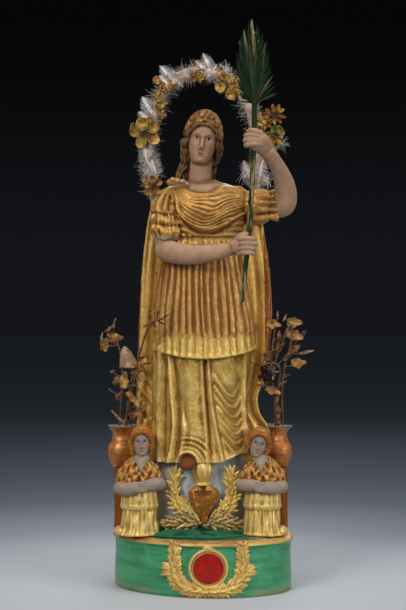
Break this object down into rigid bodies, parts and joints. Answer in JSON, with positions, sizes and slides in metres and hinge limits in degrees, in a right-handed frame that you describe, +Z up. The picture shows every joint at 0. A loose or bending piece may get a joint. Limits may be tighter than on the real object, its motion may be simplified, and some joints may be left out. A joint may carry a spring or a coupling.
{
  "type": "plaster saint figurine",
  "caption": "Gilt and painted plaster saint with a palm, on a bow-fronted plinth with two angels, vases of dried sprays, a flaming heart and a flowered hoop behind the head",
  "frame": {"origin": "on the underside of the plinth, below the figure's axis", "axes": "+Z up, -Y the front, +X the viewer's right"},
  "size_m": [0.2021, 0.1108, 0.501],
  "materials": {
    "gilt_plaster": "worn gold leaf over red bole on cast plaster, with painted flesh, hair and rock",
    "green_paint": "glossy green oil paint over plaster, with a gilt rim and wreath",
    "red_paint": "glossy red paint",
    "copper_lustre": "copper and gold lustre, green at the lip",
    "dried_gilt": "dried gilt leaves on thin wire",
    "gilt_flowers": "gilt paper flowers with painted middles",
    "ribbon": "pinkish white wrapping",
    "feather": "white feather and down"
  },
  "bodies": {
    "root": {"plinth": "green_paint", "medallion": "red_paint", "saint": "gilt_plaster", "flaming_heart": "gilt_plaster", "angel_left": "gilt_plaster", "angel_right": "gilt_plaster", "vase_left": "copper_lustre", "vase_right": "copper_lustre", "palm": "green_paint", "halo_hoop": "ribbon", "spray_left_1": "dried_gilt", "spray_left_2": "dried_gilt", "spray_left_3": "dried_gilt", "spray_right_1": "dried_gilt", "spray_right_2": "dried_gilt", "spray_right_3": "dried_gilt", "halo_flower_1": "gilt_flowers", "halo_flower_2": "gilt_flowers", "halo_flower_3": "gilt_flowers", "halo_flower_4": "gilt_flowers", "halo_flower_5": "gilt_flowers", "halo_flower_6": "gilt_flowers", "halo_flower_7": "gilt_flowers", "halo_flower_8": "gilt_flowers", "halo_feather_1": "feather", "halo_feather_2": "feather", "halo_feather_3": "feather", "halo_feather_4": "feather", "halo_feather_5": "feather", "halo_feather_6": "feather", "halo_feather_7": "feather"}
  },
  "joints": []
}
